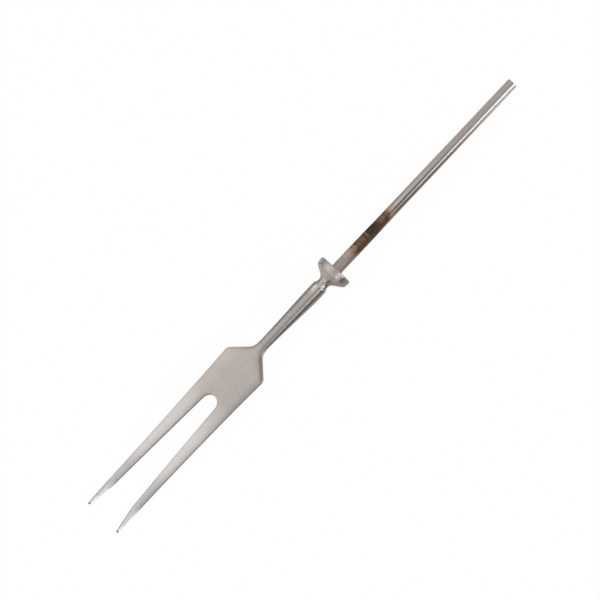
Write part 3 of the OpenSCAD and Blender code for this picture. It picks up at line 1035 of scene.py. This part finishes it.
def weld_scale():
    """Black, rough scale on the weld metal."""
    colours = bpy.context.scene.fork_colours
    material, nodes = new_material("weld_scale")
    grains = nodes.noise(2400, detail=6, roughness=0.7)
    patches = nodes.ramp(nodes.noise(700, detail=4), 0.4, 0.7)
    base = nodes.blend(patches, colours.scale, colours.brown)
    base = nodes.blend(0.72, base, colours.scale)
    inside = nodes.between(WELD_LOW.x + 0.001, WELD_HIGH.x - 0.0016, 0.0008)
    base = nodes.blend(inside, nodes.blend(0.7, colours.brown, colours.burnt), base)
    roughness = nodes.ramp(grains, 0.3, 0.7, 0.5, 0.75)
    steel_surface(nodes, base, roughness, grains, 0.00006)
    return material


class FORK_OT_forging(bpy.types.Operator):
    """Builds the forging: the tines, head, neck, bolster and stub in one piece"""

    bl_idname = "fork.forging"
    bl_label = "Forging"
    bl_options = {"REGISTER", "UNDO"}

    def execute(self, context):
        points, faces = forging_half()
        piece = mesh_object("forging", points, faces, mirrored=True)
        dress(piece, "forged_fork", satin_steel())
        return {"FINISHED"}


class FORK_OT_rod(bpy.types.Operator):
    """Builds the square rod that lengthens the stub into a full tang"""

    bl_idname = "fork.rod"
    bl_label = "Rod"
    bl_options = {"REGISTER", "UNDO"}

    def execute(self, context):
        _, neck = sizes()
        size = ROD_HIGH.y - ROD_LOW.y
        rings = [ring(ROD_LOW.x, *root_section(neck))]
        rod_steps = 60
        end_x = ROD_HIGH.x - neck.rod_chamfer
        for x in np.linspace(WELD_HIGH.x, end_x, rod_steps + 1):
            rings.append(ring(x, size, size, 0, neck.bar_edge, neck.bar_crown))
        chamfer_steps = 5
        for a in np.linspace(0, math.pi / 2, chamfer_steps + 1)[1:]:
            inset = neck.rod_chamfer * (1 - math.cos(a))
            rings.append(
                ring(
                    end_x + neck.rod_chamfer * math.sin(a),
                    size - 2 * inset,
                    size - 2 * inset,
                    0,
                    neck.bar_edge - inset,
                    neck.bar_crown,
                )
            )
        inner = size - 2 * neck.rod_chamfer
        end_edge = neck.bar_edge - neck.rod_chamfer
        for f in (0.9, 0.5):
            rings.append(ring(ROD_HIGH.x, inner * f, inner * f, 0, end_edge * f, neck.bar_crown))
        piece = loft("rod", rings)
        dress(piece, "tang_rod", rod_steel())
        return {"FINISHED"}


class FORK_OT_weld(bpy.types.Operator):
    """Builds the weld that fills the groove between the stub and the rod"""

    bl_idname = "fork.weld"
    bl_label = "Weld"
    bl_options = {"REGISTER", "UNDO"}

    def execute(self, context):
        _, neck = sizes()
        rod_size = ROD_HIGH.y - ROD_LOW.y
        toe = 0.00045
        start = WELD_LOW.x - toe
        end = WELD_HIGH.x + toe
        rings = []
        weld_steps = 80
        for f in np.linspace(0, 1, weld_steps + 1):
            size = mix(neck.stub_size, rod_size, f)
            fade = min(1.0, 6 * f, 6 * (1 - f))
            plain = ring(mix(start, end, f), size, size, 0, neck.bar_edge, neck.bar_crown, 6)
            rings.append(roughened(plain, neck.weld_roughness, fade))
        rings.append(ring(ROD_LOW.x, *root_section(neck), 6))
        piece = loft("weld", rings, closed=True)
        dress(piece, "butt_weld", weld_scale())
        return {"FINISHED"}


def floor_material():
    """A pale floor that takes the fork's shadow and shows almost white."""
    colours = bpy.context.scene.fork_colours
    material, nodes = new_material("pale_floor")
    lit = nodes.add("ShaderNodeBsdfDiffuse", {"Color": (*colours.floor, 1.0)})
    white = nodes.add("ShaderNodeEmission", {"Color": (1, 1, 1, 1), "Strength": 1.0})
    path = nodes.add("ShaderNodeLightPath")
    mirrored = nodes.math("MAXIMUM", path.outputs["Is Glossy Ray"], path.outputs["Is Transmission Ray"])
    seen = nodes.math("MAXIMUM", path.outputs["Is Camera Ray"], mirrored)
    whitened = nodes.math("MULTIPLY", seen, 0.97)
    surface = nodes.add("ShaderNodeMixShader", {0: whitened, 1: lit.outputs[0], 2: white.outputs[0]})
    nodes.add("ShaderNodeOutputMaterial", {"Surface": surface.outputs[0]})
    return material


def floor_slope(heel):
    """Angle at which a floor that runs through the bolster's lower edge touches the tines from below."""
    points, _ = forging_half()
    ahead = points[points[:, 0] < FORGING_LOW.x / 2]
    return np.arctan2(ahead[:, 2] - heel.z, heel.x - ahead[:, 0]).min()


def add_floor(stage):
    """A floor that touches the bolster's lower edge and both points."""
    _, neck = sizes()
    heel = Vector((-neck.band_edge, 0, FORGING_LOW.z))
    half = stage.floor_size / 2
    corners = [(-half, -half, 0), (half, -half, 0), (half, half, 0), (-half, half, 0)]
    mesh = bpy.data.meshes.new("floor")
    mesh.from_pydata(corners, [], [(0, 1, 2, 3)])
    mesh.materials.append(floor_material())
    floor = bpy.data.objects.new("floor", mesh)
    bpy.context.scene.collection.objects.link(floor)
    clearance = 0.00003
    place = Matrix.Translation(heel - Vector((0, 0, clearance)))
    floor.matrix_world = place @ Matrix.Rotation(floor_slope(heel), 4, "Y")


def add_camera(stage):
    """The camera, rolled so that the tang points up and to the right, as in the photograph."""
    picture_side = 600
    origin_column = 336.6
    origin_row = 269.45
    tilt = stage.camera_tilt
    roll = stage.camera_roll
    back = Vector((0, -math.sin(tilt), math.cos(tilt)))
    along = Vector((1, 0, 0))
    across = Vector((0, -math.cos(tilt), -math.sin(tilt)))
    right = along * math.cos(roll) + across * math.sin(roll)
    up = along * math.sin(roll) - across * math.cos(roll)
    scale = stage.picture_width / picture_side
    middle = picture_side / 2
    target = -right * (origin_column - middle) * scale - up * (middle - origin_row) * scale
    data = bpy.data.cameras.new("camera")
    data.lens = data.sensor_width * stage.camera_distance / stage.picture_width
    camera = bpy.data.objects.new("camera", data)
    bpy.context.scene.collection.objects.link(camera)
    turn = Matrix((right, up, back)).transposed().to_4x4()
    camera.matrix_world = Matrix.Translation(target + back * stage.camera_distance) @ turn
    bpy.context.scene.camera = camera


def add_lamp(name, place, aim, width, height, radiance):
    """A soft rectangular lamp of a given brightness, turned towards aim."""
    data = bpy.data.lights.new(name, "AREA")
    data.shape = "RECTANGLE"
    data.size = width
    data.size_y = height
    data.energy = radiance * math.pi * width * height
    lamp = bpy.data.objects.new(name, data)
    bpy.context.scene.collection.objects.link(lamp)
    lamp.location = place
    lamp.rotation_euler = (Vector(aim) - Vector(place)).to_track_quat("-Z", "Y").to_euler()


def add_world(stage):
    """A plain room for the lighting, dimmer towards the floor, and white behind the floor."""
    world = bpy.data.worlds.new("room")
    bpy.context.scene.world = world
    world.use_nodes = True
    nodes = Nodes(world.node_tree)
    direction = nodes.add("ShaderNodeTexCoord").outputs["Generated"]
    height = nodes.add("ShaderNodeSeparateXYZ", {0: direction}).outputs["Z"]
    level = nodes.ramp(height, 0.0, 0.5, 0.35, 1.0)
    room = nodes.add("ShaderNodeBackground", {"Strength": nodes.math("MULTIPLY", level, stage.world_strength)})
    room.inputs["Color"].default_value = (1, 1, 1, 1)
    white = nodes.add("ShaderNodeBackground", {"Color": (1, 1, 1, 1), "Strength": 1.0})
    path = nodes.add("ShaderNodeLightPath")
    surface = nodes.add(
        "ShaderNodeMixShader", {0: path.outputs["Is Camera Ray"], 1: room.outputs[0], 2: white.outputs[0]}
    )
    nodes.add("ShaderNodeOutputWorld", {"Surface": surface.outputs[0]})


class FORK_OT_stage(bpy.types.Operator):
    """Sets up the floor, the soft lamps, the room and the camera"""

    bl_idname = "fork.stage"
    bl_label = "Stage"
    bl_options = {"REGISTER", "UNDO"}

    def execute(self, context):
        stage = context.scene.fork_stage
        add_floor(stage)
        add_camera(stage)
        add_lamp("overhead_lamp", (-0.2, 0.6, 1.3), (-0.2, 0, 0), 4.4, 0.8, stage.overhead_radiance)
        add_lamp("side_lamp", (0.5, -0.77, 1.25), (0.5, 0, 0), 4.0, 0.4, stage.side_radiance)
        add_lamp("tang_lamp", (1.1, -0.72, 1.0), (-0.05, 0, 0), 0.7, 0.55, stage.tang_radiance)
        add_lamp("rod_lamp", (0.5, -1.0, 0.35), (0.1, 0, 0), 0.5, 0.22, stage.rod_radiance)
        add_lamp("point_lamp", (-1.5, 0.62, 0.9), (0, 0, 0), 0.6, 1.6, stage.point_radiance)
        add_lamp("low_lamp", (-0.75, -1.0, 0.62), (-0.18, 0, 0), 0.5, 0.5, stage.low_radiance)
        add_world(stage)
        context.scene.view_settings.view_transform = "Standard"
        return {"FINISHED"}


class FORK_PT_panel(bpy.types.Panel):
    """Lists the fork's pieces and its stage"""

    bl_idname = "FORK_PT_panel"
    bl_label = "Carving Fork"
    bl_space_type = "VIEW_3D"
    bl_region_type = "UI"
    bl_category = "Fork"

    def draw(self, context):
        column = self.layout.column()
        for operator in (FORK_OT_forging, FORK_OT_rod, FORK_OT_weld, FORK_OT_stage):
            column.operator(operator.bl_idname)
        for group in ("fork_head", "fork_neck", "fork_colours", "fork_stage"):
            settings = getattr(context.scene, group)
            for name in settings.bl_rna.properties.keys():
                if name not in ("rna_type", "name"):
                    column.prop(settings, name)


GROUPS = {
    "fork_head": ForkHeadSizes,
    "fork_neck": ForkNeckSizes,
    "fork_colours": ForkColours,
    "fork_stage": ForkStage,
}
CLASSES = (*GROUPS.values(), FORK_OT_forging, FORK_OT_rod, FORK_OT_weld, FORK_OT_stage, FORK_PT_panel)


def register():
    for cls in CLASSES:
        bpy.utils.register_class(cls)
    for name, group in GROUPS.items():
        setattr(bpy.types.Scene, name, PointerProperty(type=group))


def unregister():
    for name in GROUPS:
        delattr(bpy.types.Scene, name)
    for cls in reversed(CLASSES):
        bpy.utils.unregister_class(cls)


def main():
    """Builds every piece and the stage."""
    register()
    bpy.ops.fork.forging()
    bpy.ops.fork.rod()
    bpy.ops.fork.weld()
    bpy.ops.fork.stage()


if __name__ == "__main__":
    main()
